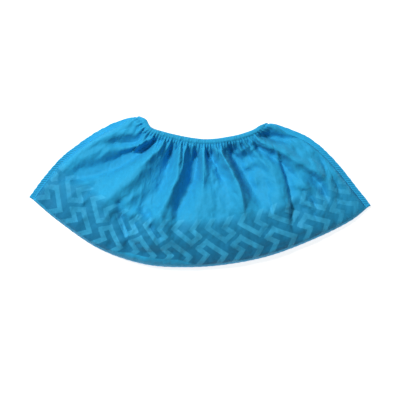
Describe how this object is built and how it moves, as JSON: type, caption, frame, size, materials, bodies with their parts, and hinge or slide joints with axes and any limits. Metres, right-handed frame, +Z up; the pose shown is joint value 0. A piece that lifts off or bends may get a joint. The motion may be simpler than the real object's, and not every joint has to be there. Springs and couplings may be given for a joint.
{
  "type": "shoe cover",
  "caption": "Disposable non-woven shoe cover with an elasticated mouth, lying on its side; a foot goes in through the gathered opening.",
  "frame": {"origin": "on the floor below the middle of the cover as it lies on its side", "axes": "+X along the length towards the heel end, +Y from the bottom fold towards the mouth, +Z up from the floor"},
  "size_m": [0.3712, 0.1636, 0.04],
  "materials": {
    "cloth": "matte spunbond non-woven, sky blue",
    "weld": "welded non-woven, slightly glossy",
    "elastic": "matte white elastic"
  },
  "bodies": {
    "root": {"cover_sheet": "cloth", "toe_seam": "weld", "heel_seam": "weld", "elastic_band": "elastic"}
  },
  "joints": []
}
